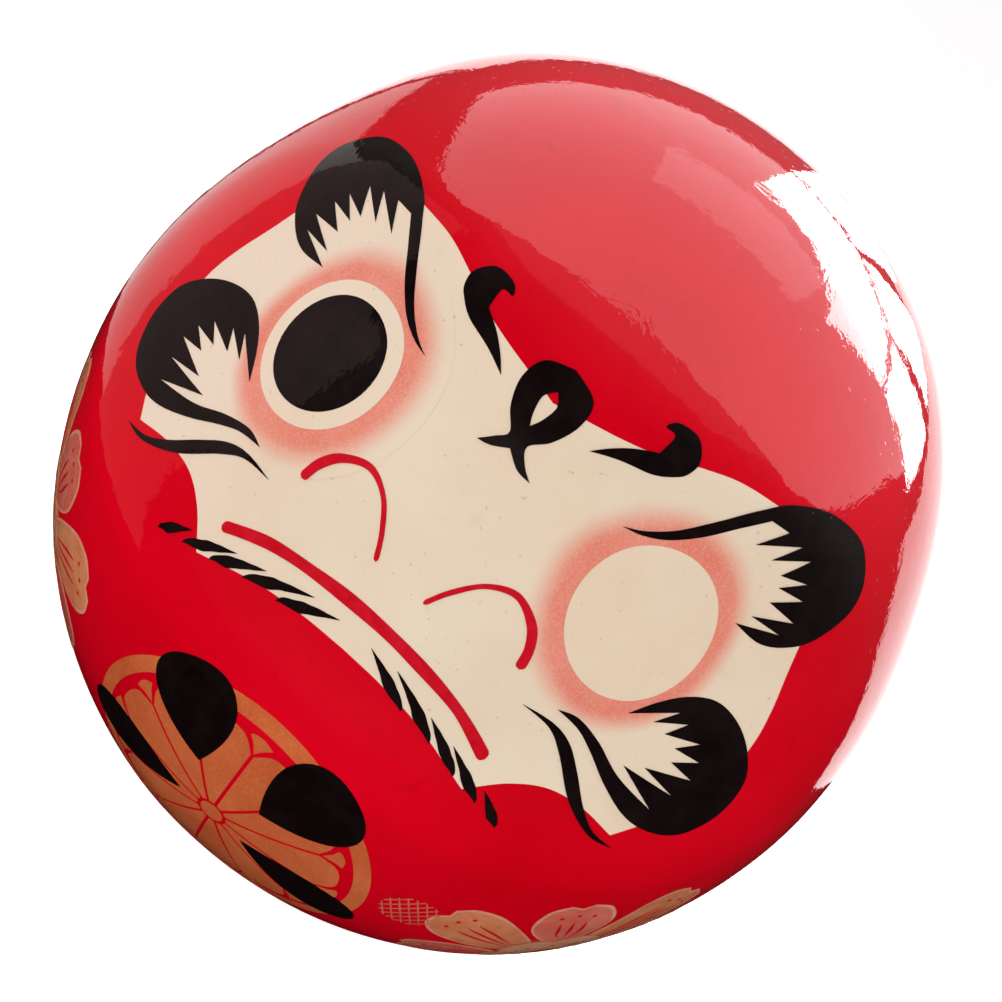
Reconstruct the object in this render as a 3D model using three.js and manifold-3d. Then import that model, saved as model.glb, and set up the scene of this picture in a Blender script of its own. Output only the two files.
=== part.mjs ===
// Daruma doll: a round, weighted papier-mache figure, lacquered red, with a painted face.
// Millimetres, +Z up. The face looks along -Y, and the origin is the middle of the base's underside.
// Left and right are those of a person who looks at the face: left is -X.
import * as THREE from "three";
import { mergeVertices } from "three/addons/utils/BufferGeometryUtils.js";
import Module from "manifold-3d";

const wasm = await Module();
wasm.setup();

// Body: half width, height of its centre above the base, and depth over width.
const halfWidth = 125;
const centreHeight = 118;
const depthRatio = 0.96;

// Radius over half width every 30 degrees of latitude, from the lower pole to the upper one.
// The first and last values repeat a neighbour, so that the outline is level at both poles.
const profile = [1.02, 1.03, 1.02, 1.014, 1.0, 0.999, 1.056, 1.074, 1.056];
const profileStep = 30;

// The face lies in a shallow hollow between the brow ridge and the chin ridge.
const hollow = {
  depth: 0.07, latitude: 15.5, halfAzimuth: 50, halfLatitude: 22, power: 2.6, rim: 1.15, slope: 0.6,
};

// Shell and base.
const wall = 3;
const gap = 0.3;
const stripThickness = 0.6;
const seamStripWidth = 24;
const seamStripGap = 0.8;
const boardThickness = 2.5;
const boardRadius = 48;
const bandHeight = 10;
const weightFootRadius = 42;
const weightRadius = 49;
const weightHeight = 26;
const weightBelly = { radius: 1, height: 0.45 };
const weightShoulder = { radius: 0.7, height: 0.9 };

// Paint films, one above another.
const filmThickness = 0.2;
const filmGap = 0.2;

// Facets round the body, from pole to pole, and round the inside of the shell.
const azimuthSteps = 48;
const latitudeSteps = 24;
const innerAzimuthSteps = 24;
const innerLatitudeSteps = 12;
const roundSteps = 36;
const weightSteps = 6;
const curveSteps = 1;
const eyeSteps = 9;
const ringSteps = 14;
const hubSteps = 7;
const lineSteps = 10;
const leafSteps = 4;

// Cards: flat drawing planes that touch the body at an azimuth and an elevation, in degrees.
// A mark drawn on a card in millimetres is carried onto the body along lines from the body's centre.
const faceCard = [0, 15];
const crestCard = [0, -25];
const sideCards = { left: [-47, -23], right: [47, -23] };
const nearCard = 0.5;
const farCard = 1.6;

const colours = {
  lacquer: "#c8041c", cream: "#ecdcc4", blush: "#e08f78", ink: "#120c0c", gold: "#c07a44",
  blossom: "#e8a892", card: "#a08060", clay: "#8c7662", paper: "#cdbb9c",
};

const roughnesses = { shell: 0.2, paint: 0.25, dry: 0.9 };

const centre = new THREE.Vector3(0, 0, centreHeight);
const profileCurve = new THREE.SplineCurve(profile.map((factor, index) => new THREE.Vector2(index, factor)));
const daruma = new THREE.Group();

// ---- Body surface ----

// Share of the hollow's depth at a latitude and azimuth in degrees: 1 inside it, 0 outside.
function hollowShare(latitude, azimuth) {
  const across = Math.abs(azimuth / hollow.halfAzimuth) ** hollow.power;
  const along = Math.abs((latitude - hollow.latitude) / hollow.halfLatitude) ** hollow.power;
  const reach = (across + along) ** (1 / hollow.power);
  return THREE.MathUtils.smoothstep((hollow.rim - reach) / hollow.slope, 0, 1);
}

// Distance from the body's centre to its surface along a unit direction.
function bodyRadius(direction) {
  const latitude = THREE.MathUtils.radToDeg(Math.asin(THREE.MathUtils.clamp(direction.z, -1, 1)));
  const azimuth = THREE.MathUtils.radToDeg(Math.atan2(direction.x, -direction.y));
  const place = ((latitude + 90) / profileStep + 1) / (profile.length - 1);
  const across = Math.hypot(direction.x, direction.y) || 1;
  const squeeze = 1 / Math.hypot(direction.x / across, direction.y / across / depthRatio);
  const level = direction.x ** 2 + direction.y ** 2;
  const round = halfWidth * profileCurve.getPoint(place).y * (1 - (1 - squeeze) * level);
  return round * (1 - hollow.depth * hollowShare(latitude, azimuth));
}

function directionAt(azimuth, latitude) {
  const turn = THREE.MathUtils.degToRad(azimuth);
  const rise = THREE.MathUtils.degToRad(latitude);
  const level = Math.cos(rise);
  return new THREE.Vector3(Math.sin(turn) * level, -Math.cos(turn) * level, Math.sin(rise));
}

// ---- Solids ----

// A closed three.js geometry as a solid that can be joined and cut.
function solid(geometry) {
  const bare = geometry.clone();
  bare.deleteAttribute("normal");
  bare.deleteAttribute("uv");
  const merged = mergeVertices(bare, 1e-4);
  const vertProperties = new Float32Array(merged.attributes.position.array);
  const triVerts = new Uint32Array(merged.index.array);
  return new wasm.Manifold(new wasm.Mesh({ numProp: 3, vertProperties, triVerts }));
}

function geometryOf(shape) {
  const mesh = shape.getMesh();
  const geometry = new THREE.BufferGeometry();
  geometry.setAttribute("position", new THREE.BufferAttribute(new Float32Array(mesh.vertProperties), 3));
  geometry.setIndex(new THREE.BufferAttribute(new Uint32Array(mesh.triVerts), 1));
  geometry.computeVertexNormals();
  return geometry;
}

// The whole body, grown by an offset, as a ball whose vertices are moved onto the surface.
function grownBody(offset, columns = azimuthSteps, rows = latitudeSteps) {
  const ball = new THREE.SphereGeometry(1, columns, rows);
  ball.rotateX(Math.PI / 2);
  const position = ball.attributes.position;
  const point = new THREE.Vector3();
  for (let index = 0; index < position.count; index += 1) {
    point.fromBufferAttribute(position, index).normalize();
    point.multiplyScalar(bodyRadius(point) + offset).add(centre);
    position.setXYZ(index, point.x, point.y, point.z);
  }
  return solid(ball);
}

function block(lowX, highX, lowY, highY, lowZ, highZ) {
  const box = new THREE.BoxGeometry(highX - lowX, highY - lowY, highZ - lowZ);
  box.translate((lowX + highX) / 2, (lowY + highY) / 2, (lowZ + highZ) / 2);
  return solid(box);
}

function addPiece(name, geometry, colour, roughness) {
  const material = new THREE.MeshStandardMaterial({ color: colour, roughness, metalness: 0 });
  const mesh = new THREE.Mesh(geometry, material);
  mesh.name = name;
  daruma.add(mesh);
}

// ---- Drawing on cards ----

// A closed outline: a start point, then runs that meet at corners.
// A run of one point is a straight line, and a longer one is a smooth curve through its points.
function outline(start, runs, side = 1) {
  const shape = new THREE.Shape();
  shape.moveTo(side * start[0], start[1]);
  for (const run of runs) {
    if (run.length === 1) {
      shape.lineTo(side * run[0][0], run[0][1]);
    } else {
      shape.splineThru(run.map(([x, y]) => new THREE.Vector2(side * x, y)));
    }
  }
  return shape;
}

function disc(x, y, radius) {
  return new THREE.Shape().absarc(x, y, radius, 0, 2 * Math.PI, false);
}

function ring(x, y, outer, inner) {
  const shape = disc(x, y, outer);
  shape.holes.push(new THREE.Path().absarc(x, y, inner, 0, 2 * Math.PI, true));
  return shape;
}

// A brush line of a given width through points; its ends are rounded, or drawn out when sharp.
function brushLine(points, width, side = 1, steps = lineSteps, sharp = false) {
  const path = new THREE.SplineCurve(points.map(([x, y]) => new THREE.Vector2(side * x, y)));
  const left = [];
  const right = [];
  for (let step = 0; step <= steps; step += 1) {
    const share = step / steps;
    const middle = path.getPoint(share);
    const along = path.getTangent(share);
    const taper = sharp ? Math.sin(Math.PI * share) : Math.sqrt(1 - (2 * share - 1) ** 8);
    const half = (width / 2) * Math.max(taper, 0.05);
    left.push(new THREE.Vector2(middle.x - along.y * half, middle.y + along.x * half));
    right.push(new THREE.Vector2(middle.x + along.y * half, middle.y - along.x * half));
  }
  return new THREE.Shape([...left, ...right.reverse()]);
}

// The closed cone-like prism that a card's outline sweeps from inside the body to outside it.
function sweep([azimuth, elevation], shape, segments = curveSteps) {
  const facing = directionAt(azimuth, elevation);
  const across = directionAt(azimuth + 90, 0);
  const upward = new THREE.Vector3().crossVectors(facing, across);
  const touch = bodyRadius(facing);
  const prism = new THREE.ExtrudeGeometry(shape, { depth: 1, bevelEnabled: false, curveSegments: segments });
  const position = prism.attributes.position;
  const point = new THREE.Vector3();
  for (let index = 0; index < position.count; index += 1) {
    const reach = position.getZ(index) < 0.5 ? nearCard : farCard;
    point.copy(facing).multiplyScalar(touch);
    point.addScaledVector(across, position.getX(index));
    point.addScaledVector(upward, position.getY(index));
    point.multiplyScalar(reach).add(centre);
    position.setXYZ(index, point.x, point.y, point.z);
  }
  return solid(prism);
}

// One thin skin for each coat of paint, from the first coat outwards.
const coats = [0, 1, 2].map((level) => {
  const inner = filmGap + level * (filmThickness + filmGap);
  return grownBody(inner + filmThickness).subtract(grownBody(inner));
});

function addMark(name, card, shape, coat, colour, segments = curveSteps) {
  const film = coats[coat].intersect(sweep(card, shape, segments));
  addPiece(name, geometryOf(film), colour, roughnesses.paint);
}

// ---- Shell, strips and base ----

function addShell() {
  const far = 2 * halfWidth;
  const boardTop = boardThickness + gap;
  const hull = grownBody(0).subtract(grownBody(-wall, innerAzimuthSteps, innerLatitudeSteps));
  const front = block(-far, far, -far, -gap / 2, boardTop, far + centreHeight);
  const rear = block(-far, far, gap / 2, far, boardTop, far + centreHeight);
  addPiece("front_shell", geometryOf(hull.intersect(front)), colours.lacquer, roughnesses.shell);
  addPiece("rear_shell", geometryOf(hull.intersect(rear)), colours.lacquer, roughnesses.shell);
}

// A paper strip pasted inside, over the cut between the two half shells.
function addSeamStrip() {
  const far = 2 * halfWidth;
  const outer = -wall - seamStripGap;
  const skin = grownBody(outer, innerAzimuthSteps, innerLatitudeSteps);
  const core = grownBody(outer - stripThickness, innerAzimuthSteps, innerLatitudeSteps);
  const half = seamStripWidth / 2;
  const slab = block(-far, far, -half, half, weightHeight + bandHeight, far + centreHeight);
  addPiece("seam_strip", geometryOf(skin.subtract(core).intersect(slab)), colours.paper, roughnesses.dry);
}

function addBase() {
  const board = new THREE.CylinderGeometry(boardRadius, boardRadius, boardThickness, roundSteps);
  board.rotateX(Math.PI / 2);
  board.translate(0, 0, boardThickness / 2);
  addPiece("base_board", board, colours.card, roughnesses.dry);

  const foot = boardThickness + gap;
  const side = new THREE.SplineCurve([
    new THREE.Vector2(weightFootRadius, foot),
    new THREE.Vector2(weightRadius * weightBelly.radius, foot + weightHeight * weightBelly.height),
    new THREE.Vector2(weightRadius * weightShoulder.radius, foot + weightHeight * weightShoulder.height),
    new THREE.Vector2(0, foot + weightHeight),
  ]);
  const section = [new THREE.Vector2(0, foot), ...side.getPoints(weightSteps)];
  const lump = new THREE.LatheGeometry(section, roundSteps / 2);
  lump.rotateX(Math.PI / 2);
  addPiece("base_weight", lump, colours.clay, roughnesses.dry);

  const far = 2 * halfWidth;
  const band = grownBody(gap + stripThickness).subtract(grownBody(gap));
  const slab = block(-far, far, -far, far, gap, bandHeight);
  addPiece("base_band", geometryOf(band.intersect(slab)), colours.lacquer, roughnesses.shell);
}

// ---- Face ----

// Half of the cream face from the top middle down to the chin, mirrored for the other half.
function faceOutline() {
  const upper = [
    [13, 38], [22, 41], [30, 45], [38, 48.5], [50, 52], [62, 55.5], [73, 52], [81, 41], [87.5, 30.5],
    [93, 21], [96.5, 11],
  ];
  const lower = [[97, -2], [93, -14], [84, -22], [77, -28]];
  const chin = [[65, -25.5], [54, -25.5], [45, -29], [37, -35]];
  const beard = [[22, -30], [10, -28], [0, -27.5]];
  const flip = (run) => run.map(([x, y]) => [-x, y]);
  const right = [[...upper, ...lower], chin, beard];
  const left = [
    [...flip(beard).reverse().slice(1), [-37, -35]],
    [...flip(chin).reverse().slice(1), [-77, -28]],
    [...flip(lower).reverse().slice(1), ...flip(upper).reverse(), [0, 35]],
  ];
  return outline([0, 35], [...right, ...left]);
}

// An eyebrow: a plump dark head with combed hairs on its inner edge and a long tail to the nose.
function browOutline(side) {
  const top = [
    [30, 29.4], [35, 33.9], [40, 40.7], [45, 47.8], [51, 54.5], [63, 62], [78, 66], [88, 61.5],
    [90.5, 53], [86, 41],
  ];
  const under = [[80, 34.5], [72, 30.2], [62, 29.4]];
  const hairs = [
    [[75, 35]], [[64, 33]], [[75.7, 39.3]], [[65, 38]], [[72.6, 44]], [[63.6, 41.4]], [[69.6, 47]],
    [[61.4, 43.3]], [[65.3, 50.6]], [[56.3, 43.7]], [[60.3, 50.7]], [[50.3, 43.1]], [[54.6, 50]],
    [[49, 48.5]],
  ];
  const tail = [[44.5, 42.6], [40, 36.4], [35, 31.3], [30, 28.3], [25.7, 27]];
  return outline([25.7, 27], [[...top, ...under], ...hairs, tail], side);
}

// A cheek tuft: the same kind of plump head, lying down, with its tail towards the mouth.
function cheekOutline(side) {
  const top = [[60.7, 4.6], [66.4, 9.7], [73, 13], [80, 13.7], [89, 12], [98, 8], [105, 2.5], [107.5, -5]];
  const under = [
    [106, -12], [100.5, -18.6], [93, -22], [83, -23], [74.3, -21.7], [64.3, -17.9], [55.7, -13.6],
  ];
  const stroke = [[48.6, -10.7], [41.4, -9.6]];
  const back = [[47, -8.6], [55.7, -10.7], [67, -15], [82.4, -17.9]];
  const hairs = [
    [[65.7, -12]], [[85.4, -12]], [[71.4, -9.7]], [[87, -6]], [[77, -5]], [[85, -1]], [[74.7, -1.7]],
    [[80.7, 2.9]], [[69, -0.3]], [[73, 5]], [[63.6, 0.4]], [[68.3, 6]], [[56, -1.4]],
  ];
  return outline([56, -1.4], [[...top, ...under, ...stroke], back, ...hairs], side);
}

function whiskerOutline(side) {
  const top = [[43, -12.6], [50, -14.6], [57, -19.3], [64.3, -25], [71.4, -29], [80, -30.7]];
  const under = [[71, -30.2], [60, -25.6], [50, -18], [43, -14], [34.6, -13]];
  return outline([34.6, -13], [top, under], side);
}

function commaOutline(side) {
  const head = [[21, 45], [18.5, 45], [20, 47], [24.6, 47.7], [28, 45], [28, 42], [26.4, 40], [22.9, 37.6]];
  const tail = [[16.4, 35.4], [11, 33]];
  const inner = [[13.6, 35.8], [17, 38.6], [21, 41]];
  return outline([21, 41], [[...head, ...tail], inner], side);
}

// A ribbon-like loop with crossed feet, open in the middle.
const knotEye = { x: -0.6, y: 33.2, halfWidth: 1.6, halfHeight: 3.8 };

function knotOutline() {
  const rightSide = [[5.5, 39.6], [6.6, 35], [4.6, 29.6], [1.6, 26], [3.5, 23], [6.4, 21]];
  const feet = [[3, 21.3], [-0.7, 23.6]];
  const leftFoot = [[-4, 21.6], [-6.7, 21]];
  const leftSide = [[-4.4, 23.6], [-2.8, 26], [-6, 30], [-7.7, 35], [-6.2, 39.6], [-0.6, 41.6]];
  const shape = outline([-0.6, 41.6], [rightSide, feet, leftFoot, leftSide]);
  const opening = new THREE.Path();
  opening.absellipse(knotEye.x, knotEye.y, knotEye.halfWidth, knotEye.halfHeight, 0, 2 * Math.PI, false);
  shape.holes.push(opening);
  return shape;
}

const eye = { x: 44.3, y: 15.2, white: 18, halo: 25, pupil: 14.2, haloGap: 0.4, squash: 0.95, tilt: 20 };
const noseLine = [[28.6, -7.6], [27.4, -3], [24.3, 1], [18.6, 3.4], [12.9, 1], [8.6, -4.3], [6, -9.4]];
const mouthLine = [
  [-36.9, -27.5], [-25, -22.3], [-12.2, -19.5], [0, -18.6], [12.2, -19.5], [25, -22.3], [36.9, -27.5],
];
const lineWidth = 1.8;
const mouthWidth = 2.4;
const leafWidth = 2.5;
const beardStrokes = [
  [[4.2, -23.5], [16.6, -29.6]], [[11, -23.7], [25.2, -31.3]], [[22.3, -27], [33.6, -33.8]],
  [[29.8, -29], [41.2, -35.9]], [[41.6, -33], [48.6, -38.2]],
];

// A slightly flattened disc, as an eye is drawn: its short axis leans towards the nose.
function eyeDisc(side, radius) {
  const lean = THREE.MathUtils.degToRad(side * eye.tilt);
  const short = radius * eye.squash;
  return new THREE.Shape().absellipse(side * eye.x, eye.y, radius, short, 0, 2 * Math.PI, false, lean);
}

function addFace() {
  addMark("face_enamel", faceCard, faceOutline(), 0, colours.cream);
  for (const [word, side] of [["left", -1], ["right", 1]]) {
    const halo = ring(side * eye.x, eye.y, eye.halo, eye.white + eye.haloGap);
    addMark(`eye_halo_${word}`, faceCard, halo, 1, colours.blush, eyeSteps);
    addMark(`eye_white_${word}`, faceCard, eyeDisc(side, eye.white), 1, colours.cream, eyeSteps);
    addMark(`brow_${word}`, faceCard, browOutline(side), 2, colours.ink);
    addMark(`cheek_tuft_${word}`, faceCard, cheekOutline(side), 2, colours.ink);
    addMark(`whisker_${word}`, faceCard, whiskerOutline(side), 2, colours.ink);
    addMark(`temple_comma_${word}`, faceCard, commaOutline(side), 2, colours.ink);
    addMark(`nose_line_${word}`, faceCard, brushLine(noseLine, lineWidth, side), 2, colours.lacquer);
    beardStrokes.forEach((stroke, index) => {
      const leaf = brushLine(stroke, leafWidth, side, leafSteps, true);
      addMark(`beard_${word}_${index + 1}`, faceCard, leaf, 2, colours.ink);
    });
  }
  addMark("pupil_left", faceCard, eyeDisc(-1, eye.pupil), 2, colours.ink, eyeSteps);
  addMark("forehead_knot", faceCard, knotOutline(), 2, colours.ink);
  addMark("mouth_line", faceCard, brushLine(mouthLine, mouthWidth), 1, colours.lacquer);
}

// ---- Crest on the belly ----

const crest = {
  y: -1, outer: 40, inner: 35.8, petals: 12, tip: 32.5, shoulder: 27, root: 4, hub: 3, vein: 0.9,
};
const petalRound = { width: 0.65, rise: 0.8 };

// Plain black brush dabs, mirrored: drops that point at the hub, an upper and a lower pair.
// Each starts at a distance from the hub and leans away from straight up, in degrees.
const dabPairs = [
  { start: 16, length: 27, width: 30, lean: 32 },
  { start: 9, length: 34, width: 19, lean: 104 },
];
const dabSteps = 16;

// One rounded petal of the rosette, pointing along an angle.
function petalOutline(angle) {
  const halfAt = (height) => height * Math.tan(Math.PI / crest.petals) - crest.vein / 2;
  const foot = halfAt(crest.root);
  const wide = halfAt(crest.shoulder);
  const high = crest.shoulder + (crest.tip - crest.shoulder) * petalRound.rise;
  const upright = [
    [foot, crest.root], [wide, crest.shoulder], [wide * petalRound.width, high], [0, crest.tip],
    [-wide * petalRound.width, high], [-wide, crest.shoulder], [-foot, crest.root],
  ];
  const turned = upright.map(([x, y]) => [
    x * Math.cos(angle) - y * Math.sin(angle),
    crest.y + x * Math.sin(angle) + y * Math.cos(angle),
  ]);
  return new THREE.Shape(turned.map(([x, y]) => new THREE.Vector2(x, y)));
}

function dabOutline({ start, length, width, lean }, side) {
  const angle = THREE.MathUtils.degToRad(side * lean);
  const points = [];
  for (let step = 0; step < dabSteps; step += 1) {
    const turn = (2 * Math.PI * step) / dabSteps;
    const along = start + (length / 2) * (1 - Math.cos(turn));
    const across = (width / 2) * Math.sin(turn) * Math.sin(turn / 2);
    const x = across * Math.cos(angle) + along * Math.sin(angle);
    const y = crest.y - across * Math.sin(angle) + along * Math.cos(angle);
    points.push(new THREE.Vector2(x, y));
  }
  return new THREE.Shape(points);
}

function addCrest() {
  addMark("crest_ring", crestCard, ring(0, crest.y, crest.outer, crest.inner), 0, colours.gold, ringSteps);
  addMark("crest_hub", crestCard, disc(0, crest.y, crest.hub), 0, colours.gold, hubSteps);
  for (let index = 0; index < crest.petals; index += 1) {
    const angle = (2 * Math.PI * (index + 0.5)) / crest.petals;
    addMark(`crest_petal_${index + 1}`, crestCard, petalOutline(angle), 0, colours.gold);
  }
  dabPairs.forEach((dab, index) => {
    addMark(`crest_dab_${2 * index + 1}`, crestCard, dabOutline(dab, -1), 1, colours.ink);
    addMark(`crest_dab_${2 * index + 2}`, crestCard, dabOutline(dab, 1), 1, colours.ink);
  });
}

// ---- Blossoms on the sides ----

const blossom = { radius: 17, lobes: 5, waist: 0.72, roundness: 0.6, hub: 4.5, steps: 30 };

function blossomOutline() {
  const points = [];
  for (let step = 0; step < blossom.steps; step += 1) {
    const angle = (2 * Math.PI * step) / blossom.steps;
    const lobe = Math.abs(Math.cos((blossom.lobes / 2) * angle)) ** blossom.roundness;
    const reach = blossom.radius * (blossom.waist + (1 - blossom.waist) * lobe);
    points.push(new THREE.Vector2(reach * Math.sin(angle), reach * Math.cos(angle)));
  }
  return new THREE.Shape(points);
}

function addBlossoms() {
  for (const word of ["left", "right"]) {
    addMark(`blossom_${word}`, sideCards[word], blossomOutline(), 0, colours.blossom);
    addMark(`blossom_hub_${word}`, sideCards[word], disc(0, 0, blossom.hub), 1, colours.gold, hubSteps);
  }
}

addShell();
addSeamStrip();
addBase();
addFace();
addCrest();
addBlossoms();

export default daruma;
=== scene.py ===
# The daruma doll's looks: fine shells, paint films, lacquer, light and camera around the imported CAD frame.
# Metres, +Z up. The face looks along -Y. Left and right are those of a person who looks at the face.
import math

import bmesh
import bpy
import numpy as np
from mathutils import Matrix, Vector
from mathutils.geometry import delaunay_2d_cdt


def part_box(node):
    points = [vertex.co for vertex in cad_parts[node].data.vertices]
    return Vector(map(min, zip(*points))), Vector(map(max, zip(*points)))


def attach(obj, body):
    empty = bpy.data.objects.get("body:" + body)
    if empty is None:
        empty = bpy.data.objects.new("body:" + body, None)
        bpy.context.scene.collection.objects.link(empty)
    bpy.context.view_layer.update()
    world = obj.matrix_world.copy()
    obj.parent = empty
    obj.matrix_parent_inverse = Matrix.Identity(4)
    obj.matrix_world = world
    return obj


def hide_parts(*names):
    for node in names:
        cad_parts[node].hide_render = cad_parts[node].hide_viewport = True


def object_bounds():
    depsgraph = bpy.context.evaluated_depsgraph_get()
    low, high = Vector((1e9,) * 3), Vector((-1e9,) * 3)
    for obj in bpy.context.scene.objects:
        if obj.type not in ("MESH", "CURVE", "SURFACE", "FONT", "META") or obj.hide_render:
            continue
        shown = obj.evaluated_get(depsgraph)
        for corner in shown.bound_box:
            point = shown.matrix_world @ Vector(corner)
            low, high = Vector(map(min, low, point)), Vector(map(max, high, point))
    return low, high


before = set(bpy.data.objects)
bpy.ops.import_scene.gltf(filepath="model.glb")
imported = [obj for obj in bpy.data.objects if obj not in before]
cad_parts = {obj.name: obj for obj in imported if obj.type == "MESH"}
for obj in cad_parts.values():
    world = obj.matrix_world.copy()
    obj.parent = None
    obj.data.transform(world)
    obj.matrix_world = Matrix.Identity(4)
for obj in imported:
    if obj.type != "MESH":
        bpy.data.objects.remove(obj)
cad_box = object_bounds()

MM = 0.001

# Body: the same surface as the CAD shells, from the half width that the frame gives.
HALF_WIDTH = (cad_box[1].x - cad_box[0].x) / 2
CENTRE = np.array([0.0, 0.0, 118 * MM])
DEPTH_RATIO = 0.96
# Radius over half width every 30 degrees of latitude; both ends repeat a neighbour to be level.
PROFILE = np.array([1.02, 1.03, 1.02, 1.014, 1.0, 0.999, 1.056, 1.074, 1.056])
PROFILE_STEP = 30
HOLLOW_DEPTH = 0.07
HOLLOW_LATITUDE = 15.5
HOLLOW_HALF_AZIMUTH = 50
HOLLOW_HALF_LATITUDE = 22
HOLLOW_POWER = 2.6
HOLLOW_RIM = 1.15
HOLLOW_SLOPE = 0.6

# Hand-pasted paper is never quite even: shallow dents, as a sum of waves in space.
DENT_WAVES = 26
DENT_LENGTHS = (34 * MM, 95 * MM)
DENT_HEIGHT = 0.08 * MM
DENT_SEED = 7

# Shells, and the mesh of each: rings from the pole to the seam, rings of the lining, and columns round them.
WALL = 3 * MM
SHELL_GAP = 0.3 * MM
BOARD_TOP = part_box("base_board")[1].z + SHELL_GAP
SHELL_RINGS = 90
LINING_RINGS = 24
SHELL_COLUMNS = 360

# The paper band round the foot: each corner of its section by height, and by how far it stands off the shell.
BAND_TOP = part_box("base_band")[1].z
BAND_SECTION = [
    (1.0 * MM, 0.35 * MM), (1.0 * MM, 0.7 * MM), (BAND_TOP - 1.0 * MM, 0.7 * MM),
    (BAND_TOP - 0.25 * MM, 0.49 * MM), (BAND_TOP, 0.02 * MM), (BAND_TOP - 1.0 * MM, -0.1 * MM),
    (BAND_TOP / 2, 0.2 * MM),
]
BAND_COLUMNS = 240
LEVEL_ROUNDS = 12

# Paint films: height of each coat over the paper, and the spacing of the points of its mesh in card
# millimetres. The row step and the margin at an outline are shares of the spacing inside it.
COAT_HEIGHTS = (0.07 * MM, 0.13 * MM, 0.19 * MM, 0.25 * MM, 0.31 * MM)
FILM_FOOT = -0.05 * MM
EDGE_STEP = 0.6
FILL_STEP = 2.0
FILL_ROW = 0.87
FILL_MARGIN = 0.45

# Cards: flat drawing planes (azimuth, elevation in degrees) that touch the body.
FACE_CARD = (0, 15)
CREST_CARD = (0, -25)
SIDE_CARDS = {"left": (-47, -23), "right": (47, -23)}
NET_CARD = (24, -20)

# Camera: close to the doll, a little above it, and rolled over to the right.
CAMERA_AZIMUTH = 2.66
CAMERA_ELEVATION = 20.0
CAMERA_DISTANCE = 260 * MM
CAMERA_ROLL = 40.06
CAMERA_SHIFT = (-0.3 * MM, 5.1 * MM)
CAMERA_LENS = 28.76
SENSOR = 36.0
NEAR_CLIP = 10 * MM


# ---------------------------------------------------------------- body surface

def smoothstep(value):
    value = np.clip(value, 0, 1)
    return value * value * (3 - 2 * value)


def profile_factor(latitude):
    """Uniform Catmull-Rom curve through PROFILE at latitudes in degrees."""
    place = (latitude + 90) / PROFILE_STEP + 1
    index = np.clip(np.floor(place).astype(int), 1, len(PROFILE) - 3)
    share = place - index
    before, low, high, after = (PROFILE[index + step] for step in (-1, 0, 1, 2))
    slope_low = (high - before) / 2
    slope_high = (after - low) / 2
    square, cube = share**2, share**3
    return (
        (2 * cube - 3 * square + 1) * low
        + (cube - 2 * square + share) * slope_low
        + (3 * square - 2 * cube) * high
        + (cube - square) * slope_high
    )


def hollow_share(latitude, azimuth):
    across = np.abs(azimuth / HOLLOW_HALF_AZIMUTH) ** HOLLOW_POWER
    along = np.abs((latitude - HOLLOW_LATITUDE) / HOLLOW_HALF_LATITUDE) ** HOLLOW_POWER
    reach = (across + along) ** (1 / HOLLOW_POWER)
    return smoothstep((HOLLOW_RIM - reach) / HOLLOW_SLOPE)


def make_dents():
    rng = np.random.RandomState(DENT_SEED)
    ways = rng.normal(size=(DENT_WAVES, 3))
    ways /= np.linalg.norm(ways, axis=1, keepdims=True)
    lengths = rng.uniform(*DENT_LENGTHS, size=DENT_WAVES)
    phases = rng.uniform(0, 2 * math.pi, size=DENT_WAVES)
    return ways * (2 * math.pi / lengths)[:, None], phases


DENTS = make_dents()


def body_radius(ways):
    """Distance from the body's centre to its surface along unit directions (rows)."""
    latitude = np.degrees(np.arcsin(np.clip(ways[:, 2], -1, 1)))
    azimuth = np.degrees(np.arctan2(ways[:, 0], -ways[:, 1]))
    across = np.maximum(np.hypot(ways[:, 0], ways[:, 1]), 1e-9)
    squeeze = 1 / np.hypot(ways[:, 0] / across, ways[:, 1] / across / DEPTH_RATIO)
    level = ways[:, 0] ** 2 + ways[:, 1] ** 2
    radius = HALF_WIDTH * profile_factor(latitude) * (1 - (1 - squeeze) * level)
    radius = radius * (1 - HOLLOW_DEPTH * hollow_share(latitude, azimuth))
    dents = np.sin((ways * HALF_WIDTH) @ DENTS[0].T + DENTS[1]).sum(axis=1)
    return radius + DENT_HEIGHT * dents / math.sqrt(DENT_WAVES / 2)


def unit(rows):
    return rows / np.maximum(np.linalg.norm(rows, axis=1, keepdims=True), 1e-12)


def body_normals(ways):
    """Outward surface normals, from the cross product of two small steps over the surface."""
    step = 0.002
    helper = np.where(np.abs(ways[:, 2:]) < 0.9, [[0.0, 0.0, 1.0]], [[1.0, 0.0, 0.0]])
    first = unit(np.cross(helper, ways))
    second = np.cross(ways, first)
    ends = []
    for side in (first, second):
        low = unit(ways - step * side)
        high = unit(ways + step * side)
        ends.append(high * body_radius(high)[:, None] - low * body_radius(low)[:, None])
    return unit(np.cross(ends[0], ends[1]))


def on_body(ways, height=0.0):
    return CENTRE + ways * (body_radius(ways) + height)[:, None]


def direction(azimuth, latitude):
    turn, rise = math.radians(azimuth), math.radians(latitude)
    level = math.cos(rise)
    return np.array([math.sin(turn) * level, -math.cos(turn) * level, math.sin(rise)])


# ---------------------------------------------------------------- meshes

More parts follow.
